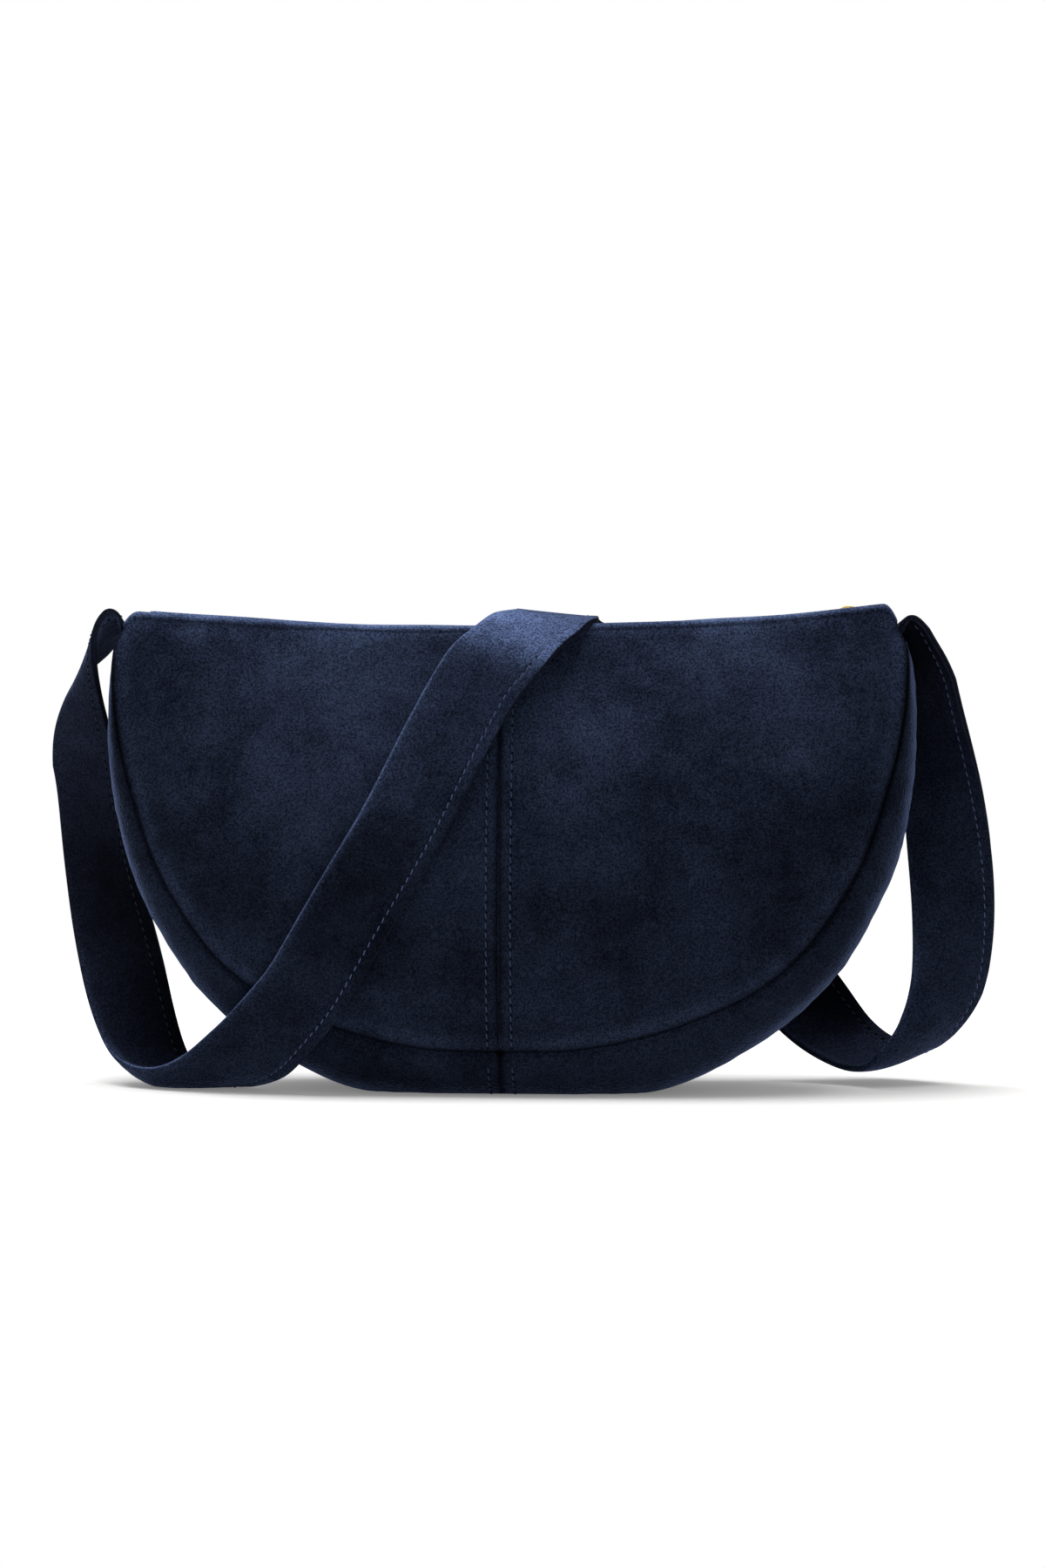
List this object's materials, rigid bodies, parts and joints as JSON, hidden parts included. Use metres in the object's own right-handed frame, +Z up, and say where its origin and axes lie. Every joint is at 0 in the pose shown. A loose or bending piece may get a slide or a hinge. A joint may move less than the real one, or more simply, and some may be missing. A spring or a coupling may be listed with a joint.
{
  "type": "shoulder bag",
  "caption": "Half-moon suede shoulder bag with a zipped top, a separate gusset between its panels, and a wide folded strap wrapped round it.",
  "frame": {"origin": "middle of the flattened base, on the surface that the bag stands on", "axes": "+X to the right along the mouth, -Y towards the front panel, +Z up"},
  "size_m": [0.4, 0.106, 0.1999],
  "materials": {
    "suede": "navy suede, matt with a soft nap",
    "lining": "plain woven navy cotton",
    "zip_tape": "dark navy woven tape",
    "zip_metal": "polished light gold"
  },
  "bodies": {
    "bag": {"front_panel_left": "suede", "front_panel_right": "suede", "back_panel_left": "suede", "back_panel_right": "suede", "gusset_left": "suede", "gusset_right": "suede", "lining_front": "lining", "lining_back": "lining", "lining_gusset": "lining", "zip_bottom_stop": "zip_metal", "zip_end_tape_front": "zip_tape", "zip_end_tape_back": "zip_tape", "zip_end_teeth_front": "zip_metal", "zip_end_teeth_back": "zip_metal", "zip_end_tab_left": "suede", "zip_end_tab_right": "suede", "shoulder_strap": "suede"},
    "slider": {"zip_slider": "zip_metal"},
    "pull": {"zip_pull": "zip_metal"},
    "mouth_front": {"zip_strip_front": "suede", "zip_tape_front": "zip_tape", "zip_teeth_front": "zip_metal", "zip_top_stop_front": "zip_metal"},
    "mouth_back": {"zip_strip_back": "suede", "zip_tape_back": "zip_tape", "zip_teeth_back": "zip_metal", "zip_top_stop_back": "zip_metal"}
  },
  "joints": [
    {"name": "zip_travel", "type": "hinge", "parent": "bag", "child": "slider", "pos_m": [-0.012, 0, 1.7415], "axis": [0, 1, 0], "range_deg": [0, 9.42], "deforming": ["zip_tape_front", "zip_tape_back", "zip_teeth_front", "zip_teeth_back", "zip_top_stop_front", "zip_top_stop_back"]},
    {"name": "pull_swing", "type": "hinge", "parent": "slider", "child": "pull", "pos_m": [0.13814, 0, 0.19703], "axis": [0, 1, 0], "range_deg": [0, 150]},
    {"name": "mouth_front_open", "type": "hinge", "parent": "bag", "child": "mouth_front", "pos_m": [0, -0.017, 0.1872], "axis": [-1, 0, 0], "range_deg": [0, 80]},
    {"name": "mouth_back_open", "type": "hinge", "parent": "bag", "child": "mouth_back", "pos_m": [0, 0.017, 0.1872], "axis": [1, 0, 0], "range_deg": [0, 80]}
  ],
  "couplings": [
    {"joint": "mouth_front_open", "follows": "zip_travel", "ratio": 8.49},
    {"joint": "mouth_back_open", "follows": "zip_travel", "ratio": 8.49}
  ]
}
